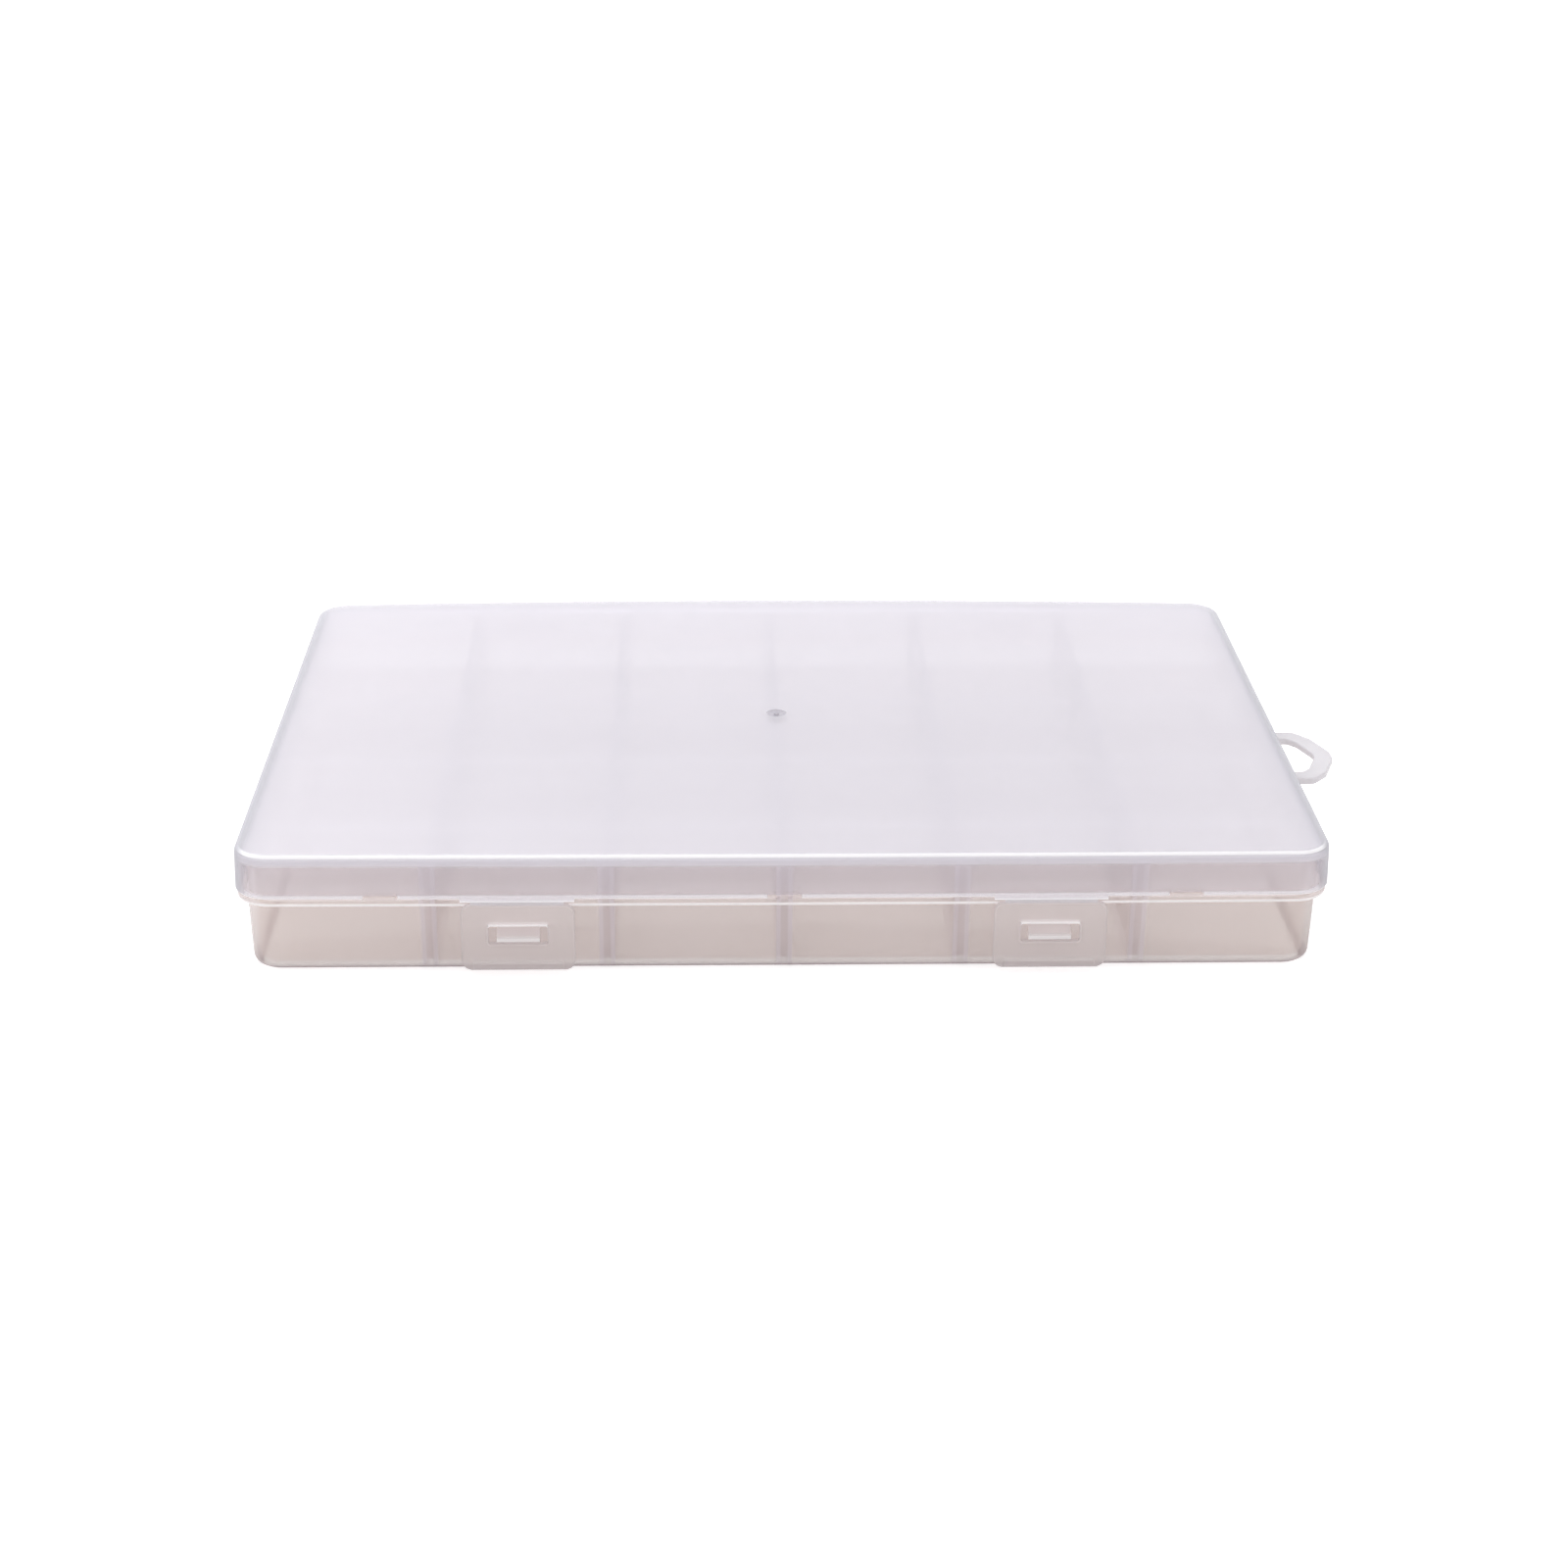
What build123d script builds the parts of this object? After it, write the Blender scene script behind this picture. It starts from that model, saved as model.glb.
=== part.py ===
from build123d import *
from math import atan, degrees
import os

# A flat hinged organizer box, moulded in frosted polypropylene.
# Millimetres. The origin is the centre of the underside, +X is to the right seen from
# the latches, +Y is towards the hinge at the back and +Z is up.

# Closed box
lid_length = 190.0
lid_end_depth = 128.4
box_height = 22.5

# Lid, a shallow cap whose long sides bulge, the back one more than the front one
lid_front_bow = 0.4
lid_back_bow = 2.6
lid_corner_radius = 6.6
lid_wall = 1.1
lid_edge_radius = 1.3
lid_inner_radius = 0.5
skirt_height = 8.0
skirt_draft = 0.25
skirt_edge_radius = 0.3
gate_mark_radius = 1.9
gate_mark_depth = 0.3
gate_nub_radius = 0.5

# Tray, whose walls stand inside the lid's skirt
tray_end_inset = 1.9
tray_side_inset = 1.5
tray_draft = 0.4
tray_wall = 1.4
tray_floor = 1.2
tray_corner_radius = 5.8
tray_foot_radius = 1.6
floor_fillet = 0.8
rim_to_lid = 0.6
rim_edge_radius = 0.3

# Ledge round the tray, on which the lid's skirt sits
ledge_setback = 0.3
ledge_thickness = 1.4
ledge_round = 0.6
skirt_seat_gap = 0.2

# Small beads on the front ledge that register in notches of the skirt
bead_spacing = 69.4
bead_length = 5.4
bead_depth = 0.8
bead_end_radius = 0.35
bead_height = 0.6
bead_clearance = 0.3

# Compartments
columns = 6
rows = 4
row_wall = 1.1
row_wall_drop = 0.3

# Dividers and the slots that hold them
divider_thickness = 1.0
divider_side_clearance = 0.12
divider_end_clearance = 0.15
divider_floor_clearance = 0.1
divider_drop = 0.4
divider_corner_radius = 0.8
slot_rib_width = 0.8
slot_rib_reach = 0.9
slot_rib_drop = 0.8
slot_stop_height = 1.8
slot_stop_clearance = 0.15

# Round marks that the ejector pins leave in the floor of the end compartments
ejector_mark_radius = 1.5
ejector_mark_depth = 0.15

# Latch flaps, which hang from the skirt on a thin film
latch_spacing = 45.9
latch_width = 19.6
latch_thickness = 1.0
latch_bottom = 1.5
latch_corner_radius = 1.8
latch_edge_radius = 0.25
latch_gap = 0.3
latch_lip_reach = 0.45
latch_lip_height = 1.5
latch_lip_round = 0.4
latch_land_height = 0.9
latch_land_slope = 0.5
window_width = 10.2
window_height = 3.4
window_bottom = 6.5
window_corner_radius = 0.4
film_gap = 0.6
film_thickness = 0.3
film_groove_radius = 0.22
film_setback = 0.05

# Catches on the tray's front wall
catch_width = 7.4
catch_clearance = 0.3
catch_face_height = 1.1
catch_slope_height = 1.5
catch_tip_setback = 0.25
catch_rib_width = 0.8

# Clip-on hinge at the back
hinge_spacing = 50.0
hinge_offset = 3.2
pin_radius = 1.2
pin_clearance = 0.05
ear_radius = 2.0
ear_thickness = 2.0
ear_root_height = 5.5
clip_width = 9.0
clip_wall = 1.05
clip_side_clearance = 0.4
clip_mouth = 1.9
clip_mouth_angle = 45.0

# Hanging loop on the right side
loop_centre_y = -1.0
loop_root_width = 23.2
loop_root_reach = 7.3
loop_bend_width = 16.4
loop_bend_reach = 10.2
loop_tip_width = 3.0
loop_tip_reach = 12.7
loop_band = 3.5
loop_hole_gap = 0.8
loop_corner_radius = 2.0
loop_hole_radius = 1.0
loop_edge_radius = 0.4

# How far a feature is sunk into the wall that it grows from
root = 0.4

# Edges this near to a height count as lying at it
level_tolerance = 0.01

# Heights worked out from the sizes above
skirt_bottom = box_height - skirt_height
ledge_top = skirt_bottom - skirt_seat_gap
ledge_bottom = ledge_top - ledge_thickness
rim_top = box_height - lid_wall - rim_to_lid
row_wall_top = rim_top - row_wall_drop
slot_rib_top = rim_top - slot_rib_drop
slot_stop_top = tray_floor + slot_stop_height
divider_top = rim_top - divider_drop

# Plan sizes worked out from the sizes above
tray_length = lid_length - 2 * tray_end_inset
tray_depth = lid_end_depth - 2 * tray_side_inset
inner_length = tray_length - 2 * tray_wall
inner_depth = tray_depth - 2 * tray_wall
ledge_end = lid_length / 2 - ledge_setback
ledge_front = -(lid_end_depth / 2 - ledge_setback)
column_pitch = (inner_length + divider_thickness) / columns
row_pitch = (inner_depth + row_wall) / rows
column_places = [(i - columns / 2) * column_pitch for i in range(1, columns)]
row_places = [(i - rows / 2) * row_pitch for i in range(1, rows)]
slot_width = divider_thickness + 2 * divider_side_clearance
slot_guide_width = slot_width + 2 * slot_rib_width

# Latch places worked out from the sizes above
latch_back = ledge_front - lid_front_bow - latch_gap
latch_face = latch_back - latch_thickness
latch_top = skirt_bottom - film_gap
film_face = latch_face + film_setback
film_axis_z = skirt_bottom - film_gap / 2
film_width = latch_width - 2 * latch_corner_radius
catch_bottom = window_bottom + catch_clearance

# Hinge places worked out from the sizes above
lid_back_at_hinge = lid_end_depth / 2 + lid_back_bow * (1 - (2 * hinge_spacing / lid_length) ** 2)
hinge_axis_y = lid_back_at_hinge + hinge_offset
hinge_axis_z = skirt_bottom
clip_outer_radius = pin_radius + pin_clearance + clip_wall


def block(x_range, y_range, z_range):
    """A box between two x, two y and two z values."""
    size = [high - low for low, high in (x_range, y_range, z_range)]
    low_corner = (x_range[0], y_range[0], z_range[0])
    return Pos(*low_corner) * Box(*size, align=(Align.MIN, Align.MIN, Align.MIN))


def side_profile(sketch_in_yz, x_centre, width):
    """A solid with the given profile across Y and Z, centred on x_centre."""
    plane = Plane(origin=(x_centre - width / 2, 0, 0), x_dir=(0, 1, 0), z_dir=(1, 0, 0))
    return extrude(plane * sketch_in_yz, amount=width)


def rod_along_x(x_centre, y, z, radius, length):
    """A round rod parallel to X."""
    return Pos(x_centre, y, z) * Rot(0, 90, 0) * Cylinder(radius, length)


def edges_at(solid, height):
    """The edges that lie flat at one height."""
    return solid.edges().filter_by_position(Axis.Z, height - level_tolerance, height + level_tolerance)


def lid_outline(inset):
    """The lid's outline in plan: straight short sides, long sides that bulge."""
    x = lid_length / 2 - inset
    y = lid_end_depth / 2 - inset
    sides = [
        ThreePointArc((-x, -y), (0, -y - lid_front_bow), (x, -y)),
        Line((x, -y), (x, y)),
        ThreePointArc((x, y), (0, y + lid_back_bow), (-x, y)),
        Line((-x, y), (-x, -y)),
    ]
    face = make_face(sides)
    return fillet(face.vertices(), lid_corner_radius - inset)


def make_lid():
    """The cap with its skirt, hinge clips, latch lands and bead notches."""
    taper = degrees(atan(skirt_draft / skirt_height))
    lid = Pos(0, 0, skirt_bottom) * extrude(lid_outline(0), amount=skirt_height, taper=taper)
    lid = fillet(edges_at(lid, box_height), lid_edge_radius)
    lid = fillet(edges_at(lid, skirt_bottom), skirt_edge_radius)
    hollow_height = skirt_height - lid_wall + root
    hollow = Pos(0, 0, skirt_bottom - root) * extrude(lid_outline(lid_wall), amount=hollow_height)
    hollow = fillet(edges_at(hollow, box_height - lid_wall), lid_inner_radius)
    lid = lid - hollow
    mark = Cylinder(gate_mark_radius, 2 * gate_mark_depth)
    nub = Cylinder(gate_nub_radius, 2 * gate_mark_depth)
    lid = lid - Pos(0, (lid_back_bow - lid_front_bow) / 2, box_height) * (mark - nub)
    for x in (-bead_spacing, 0, bead_spacing):
        lid = lid - bead_notch(x)
    for x in (-latch_spacing, latch_spacing):
        lid = lid + latch_land(x)
    for x in (-hinge_spacing, hinge_spacing):
        lid = lid + hinge_clip(x)
    return lid


def bead_notch(x):
    """The cut in the skirt's lower edge over one bead of the ledge."""
    half = bead_length / 2 + bead_clearance
    skirt_face = -lid_end_depth / 2
    y_range = (skirt_face - lid_front_bow - root, skirt_face + lid_wall + root)
    top = skirt_bottom + bead_height - skirt_seat_gap + bead_clearance
    return block((x - half, x + half), y_range, (skirt_bottom - root, top))


def latch_land(x):
    """The thickened strip of the skirt that a latch's film grows from."""
    in_skirt = -lid_end_depth / 2 + lid_wall - root
    top = skirt_bottom + latch_land_height
    profile = make_face(
        Polyline(
            (in_skirt, skirt_bottom),
            (film_face, skirt_bottom),
            (film_face, top),
            (in_skirt, top + latch_land_slope),
            close=True,
        )
    )
    return side_profile(profile, x, latch_width)


def hinge_clip(x):
    """A C-shaped clip on the back of the skirt that snaps over a hinge pin."""
    ring = Circle(clip_outer_radius)
    arm = Rectangle(hinge_offset + lid_wall / 2, clip_outer_radius, align=(Align.MAX, Align.MIN))
    gap = Rectangle(2 * clip_outer_radius, clip_mouth, align=(Align.MIN, Align.CENTER))
    mouth = Rot(0, 0, -clip_mouth_angle) * gap
    section = ring + arm - Circle(pin_radius + pin_clearance) - mouth
    return side_profile(Pos(hinge_axis_y, hinge_axis_z) * section, x, clip_width)


def make_tray():
    """The lower half: walls, floor, ledge, row walls, slots, catches, hinge and loop."""
    tray = tray_block() + tray_ledge()
    tray = tray - tray_hollow()
    for x in column_places:
        for y in row_places:
            reach = row_wall / 2 + slot_rib_reach
            tray = tray + slot_guide(x, (y - reach, y + reach))
        wall = inner_depth / 2
        tray = tray + slot_guide(x, (-wall - root, -wall + slot_rib_reach))
        tray = tray + slot_guide(x, (wall - slot_rib_reach, wall + root))
    for x in (-bead_spacing, 0, bead_spacing):
        tray = tray + ledge_bead(x)
    for x in (-latch_spacing, latch_spacing):
        tray = tray + latch_catch(x)
    for x in (-hinge_spacing, hinge_spacing):
        tray = tray + hinge_bracket(x)
    tray = tray + hanging_loop()
    return tray - ejector_marks()


def tray_block():
    """The tray as a full block: drafted below the ledge and straight above it."""
    taper = degrees(atan(tray_draft / ledge_bottom))
    plan = RectangleRounded(tray_length, tray_depth, tray_corner_radius)
    lower = extrude(Pos(0, 0, ledge_bottom) * plan, amount=-ledge_bottom, taper=taper)
    lower = fillet(edges_at(lower, 0), tray_foot_radius)
    upper = extrude(Pos(0, 0, ledge_bottom) * plan, amount=rim_top - ledge_bottom)
    upper = fillet(edges_at(upper, rim_top), rim_edge_radius)
    return lower + upper


def tray_ledge():
    """The flange round the tray, with its lower edge rounded."""
    ledge = extrude(Pos(0, 0, ledge_bottom) * lid_outline(ledge_setback), amount=ledge_thickness)
    return fillet(edges_at(ledge, ledge_bottom), ledge_round)


def tray_hollow():
    """The space inside the walls, split by the row walls, with rounded floor edges."""
    plan = RectangleRounded(inner_length, inner_depth, tray_corner_radius - tray_wall)
    hollow = Pos(0, 0, tray_floor) * extrude(plan, amount=rim_top)
    reach = inner_length / 2 + root
    for y in row_places:
        y_range = (y - row_wall / 2, y + row_wall / 2)
        hollow = hollow - block((-reach, reach), y_range, (0, row_wall_top))
    return fillet(edges_at(hollow, tray_floor), floor_fillet)


def slot_guide(x, y_range):
    """Two upright ribs with a slot between them, closed near the floor by a stop."""
    half = slot_guide_width / 2
    guide = block((x - half, x + half), y_range, (tray_floor - root, slot_rib_top))
    half = slot_width / 2
    return guide - block((x - half, x + half), y_range, (slot_stop_top, rim_top))


def ledge_bead(x):
    """A small rounded bead on top of the front ledge."""
    y_centre = (ledge_front - tray_depth / 2) / 2
    plan = RectangleRounded(bead_length, bead_depth, bead_end_radius)
    height = bead_height + root
    return Pos(x, y_centre, ledge_top - root) * extrude(plan, amount=height)


def latch_catch(x):
    """The wedge that a latch's window drops over, with two ribs up to the ledge."""
    wall_inside = -(tray_depth / 2 - root - tray_draft)
    tip = latch_face + catch_tip_setback
    wedge = make_face(
        Polyline(
            (wall_inside, catch_bottom),
            (tip, catch_bottom),
            (tip, catch_bottom + catch_face_height),
            (wall_inside, catch_bottom + catch_face_height + catch_slope_height),
            close=True,
        )
    )
    catch = side_profile(wedge, x, catch_width)
    rib_front = ledge_front + ledge_round
    for side in (-1, 1):
        middle = x + side * (catch_width - catch_rib_width) / 2
        x_range = (middle - catch_rib_width / 2, middle + catch_rib_width / 2)
        catch = catch + block(x_range, (rib_front, wall_inside), (catch_bottom, ledge_bottom + root))
    return catch


def hinge_bracket(x):
    """Two ears behind the tray with a pin moulded between them."""
    wall_inside = tray_depth / 2 - root - tray_draft
    web = Polyline(
        (wall_inside, ledge_top - ear_root_height),
        (wall_inside, ledge_top),
        (hinge_axis_y, ledge_top),
        close=True,
    )
    boss = Pos(hinge_axis_y, hinge_axis_z) * Circle(ear_radius)
    profile = make_hull(web.edges() + boss.edges())
    skirt_room = hinge_axis_y - ear_radius - skirt_seat_gap - wall_inside
    above_ledge = Rectangle(skirt_room, 2 * ear_radius, align=(Align.MIN, Align.MIN))
    profile = profile - Pos(wall_inside, ledge_top) * above_ledge
    inside_gap = clip_width / 2 + clip_side_clearance
    bracket = rod_along_x(x, hinge_axis_y, hinge_axis_z, pin_radius, 2 * inside_gap + ear_thickness)
    for side in (-1, 1):
        middle = x + side * (inside_gap + ear_thickness / 2)
        bracket = bracket + side_profile(profile, middle, ear_thickness)
    return bracket


def loop_plan(root_x):
    """The loop's outline in plan, from root_x out to its tip."""
    corners = [
        (root_x, loop_root_width / 2),
        (ledge_end + loop_root_reach, loop_root_width / 2),
        (ledge_end + loop_bend_reach, loop_bend_width / 2),
        (ledge_end + loop_tip_reach, loop_tip_width / 2),
    ]
    mirrored = [(x, -y) for x, y in reversed(corners)]
    return make_face(Polyline(*corners, *mirrored, close=True))


def hanging_loop():
    """The flat ring on the right side that the box hangs by."""
    outer = loop_plan(tray_length / 2 - root)
    outer = fillet(outer.vertices().sort_by(Axis.X)[2:], loop_corner_radius)
    hole = offset(loop_plan(ledge_end + loop_hole_gap - loop_band), -loop_band)
    hole = fillet(hole.vertices(), loop_hole_radius)
    loop = extrude(Pos(0, loop_centre_y, ledge_bottom) * (outer - hole), amount=ledge_thickness)
    beyond_ledge = loop.edges().filter_by_position(Axis.X, ledge_end + loop_hole_gap / 2, lid_length)
    flat = beyond_ledge.filter_by_position(Axis.Z, ledge_bottom, ledge_bottom)
    flat += beyond_ledge.filter_by_position(Axis.Z, ledge_top, ledge_top)
    return fillet(flat, loop_edge_radius)


def ejector_marks():
    """Shallow round marks in the floor of the compartments at both ends."""
    marks = Part()
    x = column_places[-1] + column_pitch / 2
    for i in range(rows):
        y = (i - (rows - 1) / 2) * row_pitch
        for side in (-1, 1):
            mark = Cylinder(ejector_mark_radius, 2 * ejector_mark_depth)
            marks = marks + Pos(side * x, y, tray_floor) * mark
    return marks


def make_divider():
    """A loose plate that drops into two facing slots, notched over their stops."""
    width = row_pitch - row_wall - 2 * divider_end_clearance
    bottom = tray_floor + divider_floor_clearance
    height = divider_top - bottom
    notch_width = slot_rib_reach - divider_end_clearance + slot_stop_clearance
    notch_height = slot_stop_height - divider_floor_clearance + slot_stop_clearance
    plate = Pos(0, bottom + height / 2) * Rectangle(width, height)
    plate = fillet(plate.vertices().group_by(Axis.Y)[-1], divider_corner_radius)
    for side in (-1, 1):
        notch = Rectangle(2 * notch_width, 2 * notch_height)
        plate = plate - Pos(side * width / 2, bottom) * notch
    return side_profile(plate, 0, divider_thickness)


def make_latch():
    """A flap with a window, rounded edges and a finger lip along its lower edge."""
    height = latch_top - latch_bottom
    plan = Pos(0, (latch_top + latch_bottom) / 2) * Rectangle(latch_width, height)
    plan = fillet(plan.vertices(), latch_corner_radius)
    front = Plane(origin=(0, latch_back, 0), x_dir=(1, 0, 0), z_dir=(0, -1, 0))
    flap = extrude(front * plan, amount=latch_thickness)
    flap = fillet(flap.faces().sort_by(Axis.Y)[0].edges(), latch_edge_radius)
    lip_half = film_width / 2
    lip_bottom = latch_bottom + latch_edge_radius
    lip_face = latch_face - latch_lip_reach
    lip = block(
        (-lip_half, lip_half), (lip_face, latch_back), (lip_bottom, lip_bottom + latch_lip_height)
    )
    lip = fillet(lip.faces().sort_by(Axis.Y)[0].edges(), latch_lip_round)
    window_plan = Pos(0, window_bottom + window_height / 2) * RectangleRounded(
        window_width, window_height, window_corner_radius
    )
    window = extrude(front * window_plan, amount=latch_thickness)
    return flap + lip - window


def make_latch_film():
    """The thin strip that joins a flap to the skirt, necked by a groove inside."""
    neck = film_face + film_thickness
    section = block(
        (-film_width / 2, film_width / 2),
        (film_face, neck + film_groove_radius),
        (latch_top, skirt_bottom),
    )
    groove = rod_along_x(0, neck + film_groove_radius, film_axis_z, film_groove_radius, latch_width)
    return section - groove


os.makedirs("parts", exist_ok=True)

pieces = {"tray": make_tray(), "lid": make_lid()}
for side, x in (("left", -latch_spacing), ("right", latch_spacing)):
    pieces[f"{side}_latch"] = Pos(x, 0, 0) * make_latch()
    pieces[f"{side}_latch_film"] = Pos(x, 0, 0) * make_latch_film()
divider = make_divider()
for column, x in enumerate(column_places, start=1):
    for row in range(1, rows + 1):
        y = (row - (rows + 1) / 2) * row_pitch
        pieces[f"divider_column_{column}_row_{row}"] = Pos(x, y, 0) * divider

for name, piece in pieces.items():
    export_step(piece, f"parts/{name}.step")
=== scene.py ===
import math

import bpy
from mathutils import Matrix, Vector


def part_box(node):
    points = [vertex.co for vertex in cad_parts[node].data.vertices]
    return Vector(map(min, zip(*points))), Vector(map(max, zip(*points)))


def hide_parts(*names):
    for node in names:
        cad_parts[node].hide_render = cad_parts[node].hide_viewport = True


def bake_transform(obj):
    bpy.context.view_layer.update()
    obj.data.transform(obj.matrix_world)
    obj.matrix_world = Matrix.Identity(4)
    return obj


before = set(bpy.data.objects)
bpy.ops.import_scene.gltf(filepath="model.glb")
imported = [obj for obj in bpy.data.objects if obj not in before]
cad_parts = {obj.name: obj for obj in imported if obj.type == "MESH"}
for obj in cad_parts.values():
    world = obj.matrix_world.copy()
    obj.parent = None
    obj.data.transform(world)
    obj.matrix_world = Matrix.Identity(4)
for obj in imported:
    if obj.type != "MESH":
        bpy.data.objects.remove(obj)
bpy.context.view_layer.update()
scene = bpy.context.scene
MM = 0.001


# The tray is one clear polypropylene moulding: drafted walls on a flat floor, three fixed
# walls, slots for the dividers, a ledge for the lid, two catches, two hinge brackets and
# the hanging loop. Its walls are glossy and a little warm; its rims are milky with painted
# highlights.
class Wire:
    """A node's output, on which plain arithmetic adds Math nodes."""

    def __init__(self, finish, socket):
        self.finish = finish
        self.socket = socket

    def math(self, operation, first, second, clamp=False):
        settings = {"operation": operation, "use_clamp": clamp}
        return self.finish.add("Math", settings, {0: first, 1: second})

    def __add__(self, other):
        return self.math("ADD", self, other)

    def __radd__(self, other):
        return self.math("ADD", other, self)

    def __sub__(self, other):
        return self.math("SUBTRACT", self, other)

    def __rsub__(self, other):
        return self.math("SUBTRACT", other, self)

    def __mul__(self, other):
        return self.math("MULTIPLY", self, other)

    def __rmul__(self, other):
        return self.math("MULTIPLY", other, self)

    def __truediv__(self, other):
        return self.math("DIVIDE", self, other)

    def __pow__(self, other):
        return self.math("POWER", self, other)

    def __abs__(self):
        return self.math("ABSOLUTE", self, 0.0)

    def clamped(self):
        return self.math("ADD", self, 0.0, clamp=True)

    def rounded(self):
        return self.math("ROUND", self, 0.0)

    def at_least(self, other):
        return self.math("MAXIMUM", self, other)


class Finish:
    """A material or a world that is built node by node."""

    def __init__(self, owner):
        owner.use_nodes = True
        self.owner = owner
        self.tree = owner.node_tree
        self.tree.nodes.clear()

    def add(self, kind, settings=None, inputs=None, output=0):
        """Adds one node with its settings and inputs, and gives the output that is asked for."""
        node = self.tree.nodes.new("ShaderNode" + kind)
        for name, value in (settings or {}).items():
            setattr(node, name, value)
        for name, value in (inputs or {}).items():
            socket = node.inputs[name]
            if isinstance(value, Wire):
                self.tree.links.new(value.socket, socket)
            else:
                socket.default_value = value
        if not node.outputs:
            return node
        return Wire(self, node.outputs[output])

    def blended(self, share, first, second):
        """A colour that goes from the first to the second as share goes from 0 to 1."""
        if not isinstance(first, Wire):
            first = (*first, 1)
        return self.add("Mix", {"data_type": "RGBA"}, {0: share, 6: first, 7: (*second, 1)}, 2)

    def mixed(self, share, first, second):
        """A number that goes from the first to the second as share goes from 0 to 1."""
        return self.add("Mix", {"data_type": "FLOAT"}, {0: share, 2: first, 3: second})


through_share = 0.5


class Zone:
    """A part of a surface whose plastic is thicker, rougher or otherwise unlike the rest.

    covers is a function that says, from a place in mm, how far the zone covers it. tint and
    milk are the zone's own. through is the share of its scattered light that comes from behind
    the face, and the last is how much light the zone gives off itself: painted light, not a lamp.
    """

    def __init__(self, covers, tint, milk, through=through_share, painted_glow=0.0):
        self.covers = covers
        self.tint = tint
        self.milk = milk
        self.through = through
        self.painted_glow = painted_glow


def dimmed(colour, share):
    """A colour at a share of its brightness."""
    return [channel * share for channel in colour]


def polypropylene(name, tint, clear_tint, milk, sheen, zones=()):
    """Frosted polypropylene. Each face lets some light straight through and scatters the rest.

    tint is the colour of the scattered light and clear_tint of the rest, milk is the share
    that a face scatters, and sheen is the roughness.
    """
    finish = Finish(bpy.data.materials.new(name))
    metres = finish.add("TexCoord", None, None, "Object")
    place = finish.add("VectorMath", {"operation": "SCALE"}, {0: metres, "Scale": 1 / MM})
    axes = [finish.add("SeparateXYZ", None, {0: place}, axis) for axis in range(3)]
    clouds = {"Vector": place, "Scale": cloud_scale, "Detail": cloud_detail}
    cloud = finish.add("TexNoise", None, clouds)
    grains = {"Vector": place, "Scale": grain_scale, "Detail": grain_detail}
    grain = finish.add("TexNoise", None, grains)
    shade = finish.blended(cloud, tint, dimmed(tint, cloud_shade))
    milkiness = milk + (cloud - noise_middle) * cloud_milk
    through = through_share
    painted_glow = None
    for zone in zones:
        cover = zone.covers(*axes).clamped()
        shade = finish.blended(cover, shade, zone.tint)
        milkiness = finish.mixed(cover, milkiness, zone.milk)
        if zone.through != through:
            through = finish.mixed(cover, through, zone.through)
        # A zone that gives off light paints a highlight into the plastic's colour.
        if zone.painted_glow or painted_glow:
            painted_glow = finish.blended(cover, painted_glow or no_glow, dimmed(zone.tint, zone.painted_glow))
    relief = {"Height": grain, "Strength": grain_strength, "Distance": grain_depth * MM}
    bump = finish.add("Bump", None, relief)
    roughness = sheen + (cloud - noise_middle) * cloud_sheen
    sockets = {"Base Color": shade, "Roughness": roughness, "IOR": plastic_ior, "Normal": bump}
    # This emission is painted light along rims and edges; the plastic is no lamp.
    if painted_glow:
        sockets["Emission Color"] = painted_glow
        sockets["Emission Strength"] = 1.0
    milky = finish.add("BsdfPrincipled", None, sockets)
    lit_through = finish.add("BsdfTranslucent", None, {"Color": (*tint, 1)})
    scattered = finish.add("MixShader", None, {0: through, 1: milky, 2: lit_through})
    slant = finish.add("LayerWeight", None, {"Blend": 0.5, "Normal": bump}, "Facing")
    gloss = head_on_gloss + (1 - head_on_gloss) * slant**gloss_power
    clear = finish.add("BsdfTransparent", None, {"Color": (*clear_tint, 1)})
    mirror = {"Color": white, "Roughness": sheen, "Normal": bump}
    shine = finish.add("BsdfAnisotropic", None, mirror)
    glassy = finish.add("MixShader", None, {0: gloss, 1: clear, 2: shine})
    surface = finish.add("MixShader", None, {0: milkiness.clamped(), 1: glassy, 2: scattered})
    finish.add("OutputMaterial", None, {"Surface": surface})
    return finish.owner


def above(value, low, blur):
    """1 where a value is above another, with a soft step between."""
    return ((value - low) / blur + 0.5).clamped()


def below(value, high, blur):
    """1 where a value is below another, with a soft step between."""
    return ((high - value) / blur + 0.5).clamped()


def between(value, low, high, blur):
    """1 where a value lies between two others, with soft ends."""
    return above(value, low, blur) * below(value, high, blur)


def dress(node, material):
    """Gives one piece of the frame its material."""
    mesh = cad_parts[node].data
    mesh.materials.clear()
    mesh.materials.append(material)


def middle(node):
    """The middle of a piece at rest, in mm."""
    low, high = (Vector(corner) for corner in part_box(node))
    return (low + high) / 2 / MM


noise_middle = 0.5
cloud_scale = 0.03
cloud_detail = 3.0
cloud_shade = 0.98
cloud_milk = 0.06
cloud_sheen = 0.1
grain_scale = 2.6
grain_detail = 2.0
grain_strength = 0.15
grain_depth = 0.02
plastic_ior = 1.49
head_on_gloss = 0.04
gloss_power = 5
no_glow = (0.0, 0.0, 0.0)
white = (1, 1, 1, 1)
tray_tint = (1.0, 0.913, 0.868)
floor_tint = (0.97, 0.955, 0.965)
tray_clear = (0.99, 0.975, 0.97)
rim_highlight_tint = (0.99, 0.975, 0.985)
guide_tint = (0.86, 0.82, 0.89)
foot_shade_tint = (0.50, 0.43, 0.47)
loop_tint = (0.77, 0.77, 0.83)
catch_tint = (1.0, 0.96, 0.98)
skirt_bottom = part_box("left_latch_film")[1][2] / MM
lid_gap = 0.2
ledge_height = 1.4
ledge_bottom = skirt_bottom - lid_gap - ledge_height
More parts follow.
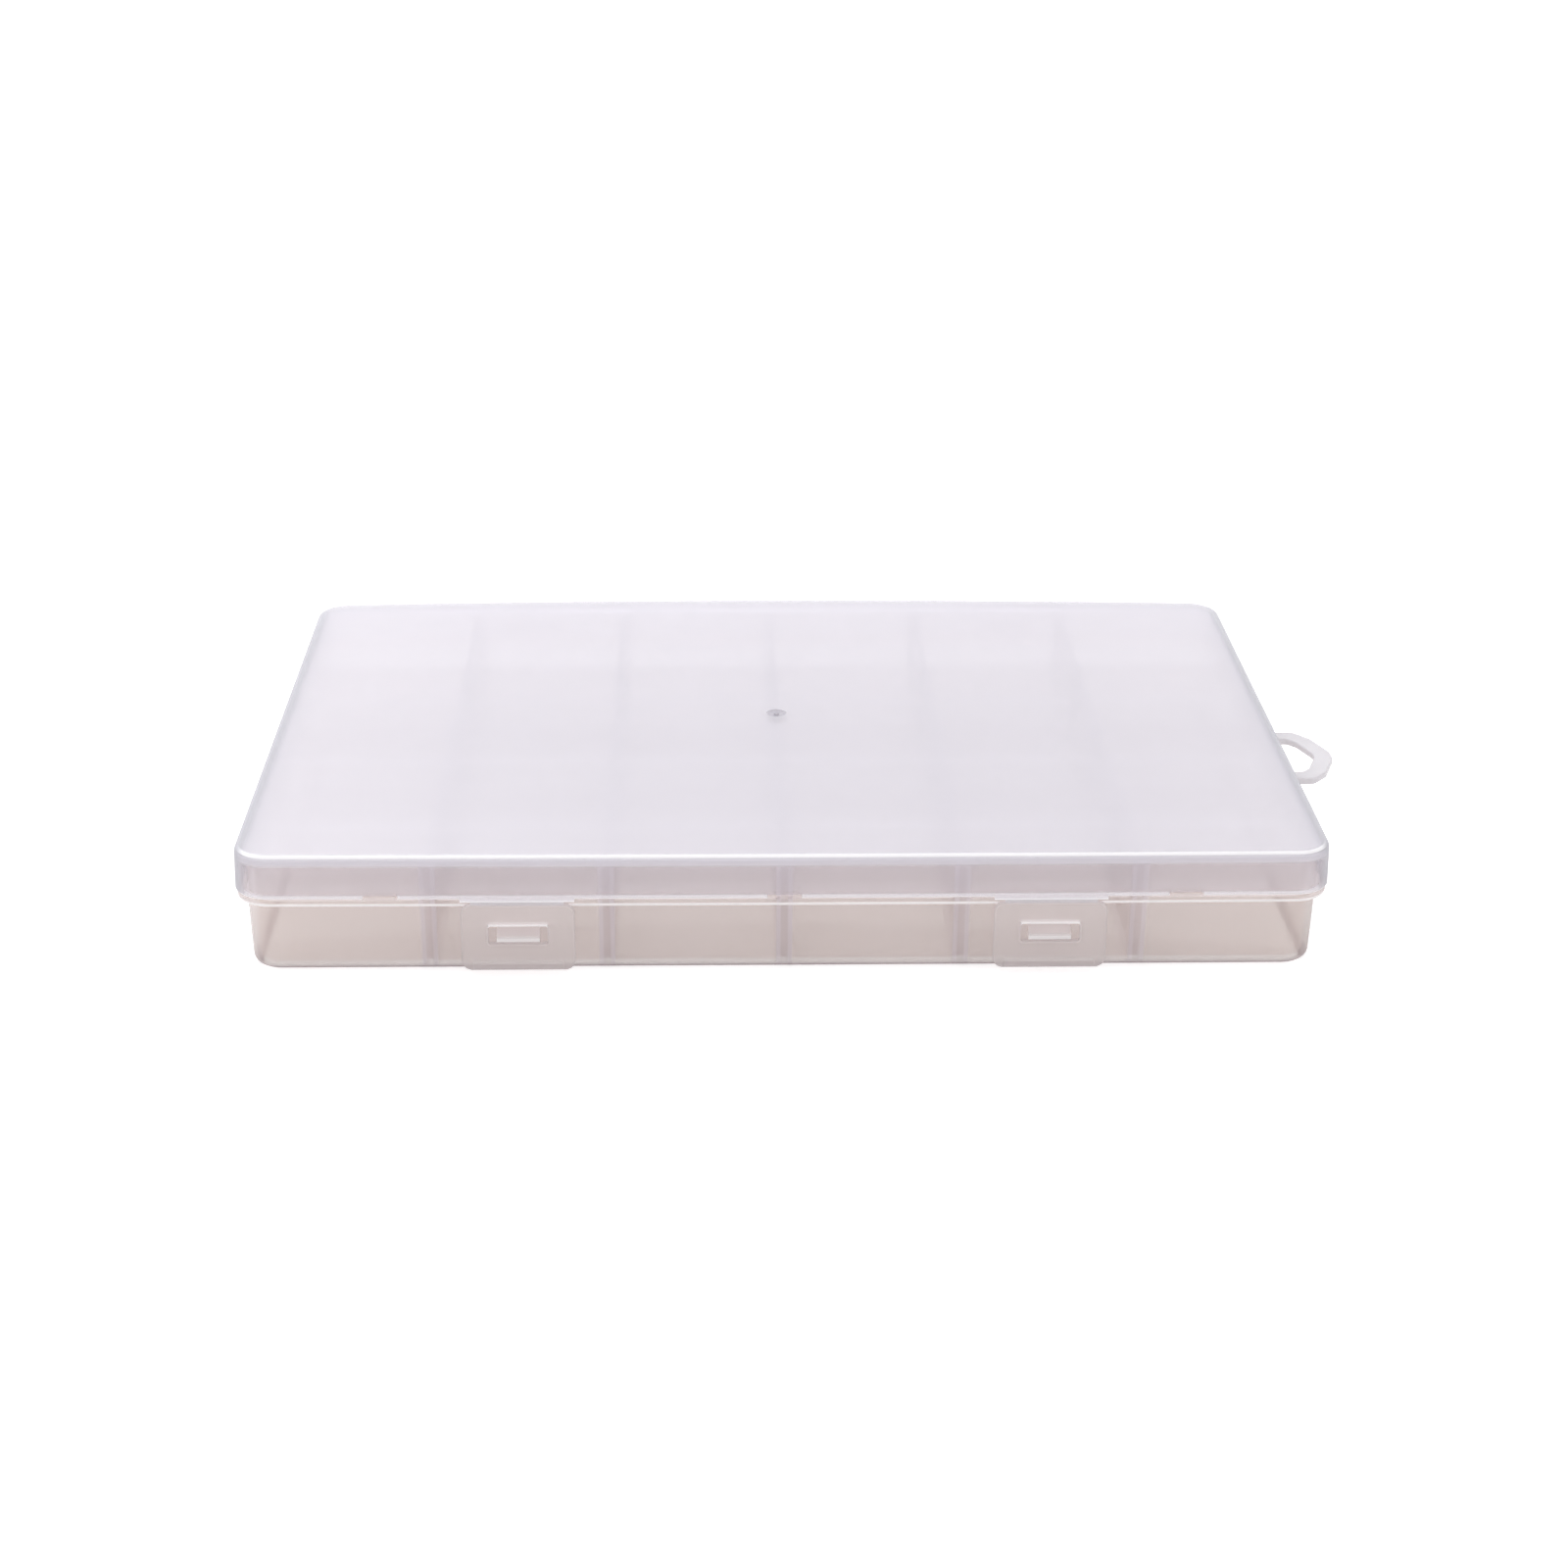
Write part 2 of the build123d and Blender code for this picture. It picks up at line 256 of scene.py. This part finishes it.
tray_half_length = -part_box("tray")[0][0] / MM
tray_half_depth = -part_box("tray")[0][1] / MM
column_pitch = middle("divider_column_4_row_1").x - middle("divider_column_3_row_1").x
slots_half_span = 2.5 * column_pitch
zone_margin = 0.1
ledge_rim_height = 0.7
guide_half_width = 1.42
rib_width = 0.8
rib_strength = 0.9
slot_strength = 0.54
floor_inset = 3.0
floor_thickness = 1.3
loop_start = 0.3
foot_width = 4.0
foot_height = 1.1
latch_place = middle("right_latch").x
catch_half_width = 3.7
catch_bottom = 6.8
catch_top = 9.6
catch_lip_height = 0.7
wall_face = -62.9


# The ledge's rim is tinted near white, milkier, and gives off light: a painted highlight along
# it.
def ledge_rim_highlight(x, y, z):
    """The rim of the ledge."""
    return between(z, ledge_bottom - zone_margin, ledge_bottom + ledge_rim_height, blur=0.15)


def slot_guides(x, y, z):
    """The ribs on both sides of each slot, and the slot between them."""
    steps = x / column_pitch
    off_centre = abs(steps - steps.rounded()) * column_pitch
    slot_half_width = guide_half_width - rib_width
    ribs = between(off_centre, slot_half_width, guide_half_width, blur=0.3) * rib_strength
    slot = below(off_centre, slot_half_width, blur=0.3) * slot_strength
    return (ribs + slot) * below(abs(x), slots_half_span, blur=1)


def floor(x, y, z):
    """The floor of the tray."""
    along = below(abs(x), tray_half_length - floor_inset, blur=1)
    across = below(abs(y), tray_half_depth - floor_inset, blur=1)
    return along * across * below(z, floor_thickness, blur=0.3)


# The foot is tinted dark and mauve: painted shade along the lower edge of the walls.
def foot_shade(x, y, z):
    """The round lower edge of the walls."""
    end = above(abs(x), tray_half_length - foot_width, blur=1)
    side = above(abs(y), tray_half_depth - foot_width, blur=1)
    return (end + side) * below(z, foot_height, blur=0.8)


def catches(x, y, z):
    """The two wedges on the front wall, with their ribs."""
    off_centre = abs(abs(x) - latch_place)
    wedge = below(off_centre, catch_half_width + zone_margin, blur=0.1)
    return wedge * below(y, wall_face - zone_margin, blur=0.1) * below(z, catch_top, blur=0.2)


# The catch lips are tinted near white and give off light: a painted highlight on their lower
# edge.
def catch_lip_highlight(x, y, z):
    """The lower edge of each catch, which holds the latch's window."""
    return catches(x, y, z) * below(z, catch_bottom + catch_lip_height, blur=0.2)


def loop(x, y, z):
    """The hanging loop."""
    return above(x, tray_half_length + loop_start, blur=0.3)


tray_zones = (
    Zone(floor, floor_tint, milk=0.3),
    Zone(slot_guides, guide_tint, milk=0.6, through=0.3),
    # painted shade along the foot
    Zone(foot_shade, foot_shade_tint, milk=0.75, through=0.2),
    # painted highlight along the ledge's rim
    Zone(ledge_rim_highlight, rim_highlight_tint, milk=0.95, through=0.2, painted_glow=0.16),
    Zone(catches, catch_tint, milk=0.7, through=0.3),
    # painted highlight along the catch lips
    Zone(catch_lip_highlight, rim_highlight_tint, milk=0.9, through=0.2, painted_glow=0.06),
    Zone(loop, loop_tint, milk=0.55, through=0.2),
)
tray_plastic = polypropylene(
    "tray_plastic", tray_tint, tray_clear, milk=0.31, sheen=0.16, zones=tray_zones
)
dress("tray", tray_plastic)


# The dividers are twenty loose plates of the same plastic, five in each row. They stand in
# the slots of the tray's walls and lift straight out.
divider_tint = (0.76, 0.68, 0.69)
divider_clear = (0.99, 0.975, 0.98)
divider_plastic = polypropylene(
    "divider_plastic", divider_tint, divider_clear, milk=0.42, sheen=0.25
)
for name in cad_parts:
    if name.startswith("divider"):
        dress(name, divider_plastic)


# The lid is a shallow cap of frosted polypropylene, hazier than the tray and faintly
# lavender, with the mark of its gate at the middle of the top.
lid_tint = (0.885, 0.892, 0.925)
lid_clear = (0.99, 0.985, 1.0)
edge_highlight_tint = (1.0, 0.99, 1.0)
end_shade_tint = (0.55, 0.55, 0.61)
shoulder_shade_tint = (0.86, 0.83, 0.895)
skirt_tint = (1.0, 0.945, 0.995)
gate_shade_tint = (0.42, 0.41, 0.45)
lid_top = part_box("lid")[1][2] / MM
lid_half_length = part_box("lid")[1][0] / MM
skirt_top_drop = 1.5
skirt_rim_height = 0.3
skirt_sink = 1.0
edge_start = 0.08
edge_drop = 0.5
shoulder_start = 0.6
shoulder_drop = 1.9
end_width = 1.5
gate_radius = 1.9
gate_depth = 0.5
gate_y = 1.1


def skirt(x, y, z):
    """The upright sides, which show the warm wall of the tray close behind them."""
    return between(z, skirt_bottom, lid_top - skirt_top_drop, blur=0.8)


# The skirt's lower edge is tinted near white, milkier, and gives off light: a painted highlight.
def skirt_rim_highlight(x, y, z):
    """The lower edge of the skirt."""
    return between(z, skirt_bottom - skirt_sink, skirt_bottom + skirt_rim_height, blur=0.2)


# The round top edge is tinted near white and gives off light: a painted highlight along it.
def top_edge_highlight(x, y, z):
    """The round edge of the top."""
    return between(z, lid_top - edge_drop, lid_top - edge_start, blur=0.1)


def shoulder_shade(x, y, z):
    """The band under the round edge, tinted darker and bluer: painted shade on the lower part of
    the round.
    """
    return between(z, lid_top - shoulder_drop, lid_top - shoulder_start, blur=0.4)


# The ends are tinted darker and bluer: painted shade where the top turns over into the skirt.
def lid_end_shade(x, y, z):
    """The short ends of the lid, where the top turns over into the skirt."""
    return above(abs(x), lid_half_length - end_width, blur=1.6)


# The gate's small dimple is tinted dark: painted shade in the recess.
def gate_mark_shade(x, y, z):
    """The small round mark at the middle of the top."""
    away = (x * x + (y - gate_y) * (y - gate_y)) ** 0.5
    return below(away, gate_radius, blur=0.3) * above(z, lid_top - gate_depth, blur=0.1)


lid_zones = (
    Zone(skirt, skirt_tint, milk=0.25),
    # painted shade under the round top edge
    Zone(shoulder_shade, shoulder_shade_tint, milk=0.7, through=0.2),
    # painted highlight along the skirt's lower edge
    Zone(skirt_rim_highlight, rim_highlight_tint, milk=0.95, through=0.2, painted_glow=0.16),
    # painted highlight on the round top edge
    Zone(top_edge_highlight, edge_highlight_tint, milk=0.95, through=0.2, painted_glow=0.11),
    # painted shade at the lid's ends
    Zone(lid_end_shade, end_shade_tint, milk=0.75, through=0.2),
    # painted shade in the gate's dimple
    Zone(gate_mark_shade, gate_shade_tint, milk=0.6, through=0.2),
)
lid_plastic = polypropylene(
    "lid_plastic", lid_tint, lid_clear, milk=0.38, sheen=0.24, zones=lid_zones
)
dress("lid", lid_plastic)


# The latch flaps are hazy and a little warm, with a window that hooks over the catch. They
# hang from the lid's skirt on thin films of the same moulding.
latch_tint = (1.0, 0.96, 0.955)
latch_clear = (0.995, 0.985, 0.985)
latch_edge_shade_tint = (0.80, 0.74, 0.75)
window_highlight_tint = (1.0, 0.97, 0.98)
latch_low, latch_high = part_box("right_latch")
latch_middle = middle("right_latch").z
latch_half_width = (latch_high[0] - latch_low[0]) / 2 / MM
latch_half_height = (latch_high[2] - latch_low[2]) / 2 / MM
latch_corner = 1.8
flap_rim_width = 0.28
window_half_width = 5.1
window_half_height = 1.7
window_middle = 8.2
window_corner = 0.4
window_rim_width = 0.3
window_head_below = 0.2
window_head_above = 0.4


def outside(across, up, half_width, half_height, corner):
    """How far a place lies outside a rounded rectangle in the flap's face."""
    over = (across - (half_width - corner)).at_least(0.0)
    rise = (up - (half_height - corner)).at_least(0.0)
    return (over * over + rise * rise) ** 0.5 - corner


# The flap's outline and window sides are tinted darker: painted shade along the edges and gap.
def latch_edge_shade(x, y, z):
    """The outline of the flap and the sides and sill of its window."""
    across = abs(abs(x) - latch_place)
    up = abs(z - latch_middle)
    outline = outside(across, up, latch_half_width, latch_half_height, latch_corner)
    frame_up = abs(z - window_middle)
    window = outside(across, frame_up, window_half_width, window_half_height, window_corner)
    return above(outline, -flap_rim_width, blur=0.15) + below(window, window_rim_width, blur=0.15)


# The window's upper edge is tinted near white and gives off light: a painted highlight.
def window_head_highlight(x, y, z):
    """The upper edge of the window."""
    across = abs(abs(x) - latch_place)
    head = window_middle + window_half_height
    line = between(z, head - window_head_below, head + window_head_above, blur=0.1)
    return below(across, window_half_width, blur=0.2) * line


latch_zones = (
    # painted shade along the flap's edges
    Zone(latch_edge_shade, latch_edge_shade_tint, milk=0.5, through=0.2),
    # painted highlight on the window's upper edge
    Zone(window_head_highlight, window_highlight_tint, milk=0.85, through=0.2, painted_glow=0.15),
)
latch_plastic = polypropylene(
    "latch_plastic", latch_tint, latch_clear, milk=0.32, sheen=0.18, zones=latch_zones
)
for side in ("left", "right"):
    dress(f"{side}_latch", latch_plastic)


# Each film is a strip of the lid's plastic, about a third of a millimetre thick at its neck,
# built as a still mesh in place of the frame's film. A groove along its back makes the neck.
film_tint = (0.96, 0.95, 0.97)
film_plastic = polypropylene("film_plastic", film_tint, lid_clear, milk=0.6, sheen=0.3)
film_thickness = 0.3
film_rows = 13
row_corners = 4


def film_mesh(name, low, high):
    """A strip between two corners in mm, with a round groove along the middle of its back."""
    groove = high.y - low.y - film_thickness
    middle_z = (low.z + high.z) / 2
    points = []
    for row in range(film_rows):
        z = low.z + (high.z - low.z) * row / (film_rows - 1)
        deep = math.sqrt(max(groove**2 - (z - middle_z) ** 2, 0))
        back = high.y - deep
        points += [(low.x, low.y, z), (high.x, low.y, z), (high.x, back, z), (low.x, back, z)]
    faces = [(3, 2, 1, 0)]
    for row in range(film_rows - 1):
        for corner in range(row_corners):
            here = row_corners * row + corner
            beside = row_corners * row + (corner + 1) % row_corners
            faces.append((here, beside, beside + row_corners, here + row_corners))
    last = row_corners * (film_rows - 1)
    faces.append(tuple(range(last, last + row_corners)))
    mesh = bpy.data.meshes.new(name)
    mesh.from_pydata([Vector(point) * MM for point in points], [], faces)
    return mesh


for side in ("left", "right"):
    low, high = (Vector(corner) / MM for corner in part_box(f"{side}_latch_film"))
    film = bpy.data.objects.new(f"{side}_film", film_mesh(f"{side}_film", low, high))
    film.data.materials.append(film_plastic)
    scene.collection.objects.link(film)
    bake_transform(film)
    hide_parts(f"{side}_latch_film")


# The table is white and runs out of view. It reads as plain white behind the box, but it
# keeps the box's shadow.
table_size = 8.0
table_colour = (0.8, 0.796, 0.8, 1)
table_lift = 0.58
table_lift_behind = 0.05

half = table_size / 2
corners = [(-half, -half, 0), (half, -half, 0), (half, half, 0), (-half, half, 0)]
table_mesh = bpy.data.meshes.new("table_top")
table_mesh.from_pydata(corners, [], [(0, 1, 2, 3)])
table = bpy.data.objects.new("table_top", table_mesh)
scene.collection.objects.link(table)

table_finish = Finish(bpy.data.materials.new("table_white"))
table_diffuse = table_finish.add("BsdfDiffuse", None, {"Color": table_colour})
seen_by_camera = table_finish.add("LightPath", None, None, "Is Camera Ray")
faces_passed = table_finish.add("LightPath", None, None, "Transparent Depth")
lift = table_lift + faces_passed.clamped() * (table_lift_behind - table_lift)
table_glow = table_finish.add(
    "Emission", None, {"Color": white, "Strength": seen_by_camera * lift}
)
table_both = table_finish.add("AddShader", None, {0: table_diffuse, 1: table_glow})
table_finish.add("OutputMaterial", None, {"Surface": table_both})
table_mesh.materials.append(table_finish.owner)


# The light is an even white room, dimmer near the horizon than overhead, with one large
# soft box above and behind the box on the left.
room_low = 0.62
room_high = 0.8
soft_box_size = 1.0
soft_box_colour = (0.98, 0.98, 1.0)
soft_box_place = Vector((-0.32, 0.45, 0.95))
soft_box_power = 8.5

room = Finish(bpy.data.worlds.new("room"))
scene.world = room.owner
direction = room.add("TexCoord", None, None, "Generated")
upward = room.add("SeparateXYZ", None, {0: direction}, 2).clamped()
rays = {
    name: room.add("LightPath", None, None, name)
    for name in ("Is Camera Ray", "Is Glossy Ray", "Is Transmission Ray")
}
seen = rays["Is Camera Ray"].at_least(rays["Is Glossy Ray"]).at_least(rays["Is Transmission Ray"])
level = room_low + upward * (room_high - room_low)
room_light = room.add(
    "Background", None, {"Color": white, "Strength": level + seen * (1 - level)}
)
room.add("OutputWorld", None, {"Surface": room_light})

lamp_data = bpy.data.lights.new("soft_box", "AREA")
lamp_data.size = soft_box_size
lamp_data.energy = soft_box_power
lamp_data.color = soft_box_colour
lamp = bpy.data.objects.new("soft_box", lamp_data)
lamp.location = soft_box_place
lamp.rotation_euler = soft_box_place.to_track_quat("Z", "Y").to_euler()
scene.collection.objects.link(lamp)


# The view: a camera held at half a metre in front of the closed box and well above it,
# turned a touch to the right, with a long lens.
camera_place = Vector((-12.59, -502.46, 224.58)) * MM
camera_yaw = math.radians(1.61)
camera_pitch = math.radians(23.299)
camera_roll = math.radians(-0.405)

camera_data = bpy.data.cameras.new("camera")
camera_data.sensor_width = 36.0
camera_data.lens = 64.85
camera_data.clip_start = 0.01
camera = bpy.data.objects.new("camera", camera_data)
camera.matrix_world = (
    Matrix.Translation(camera_place)
    @ Matrix.Rotation(-camera_yaw, 4, "Z")
    @ Matrix.Rotation(math.pi / 2 - camera_pitch, 4, "X")
    @ Matrix.Rotation(-camera_roll, 4, "Z")
)
scene.collection.objects.link(camera)
scene.camera = camera
scene.view_settings.view_transform = "Standard"
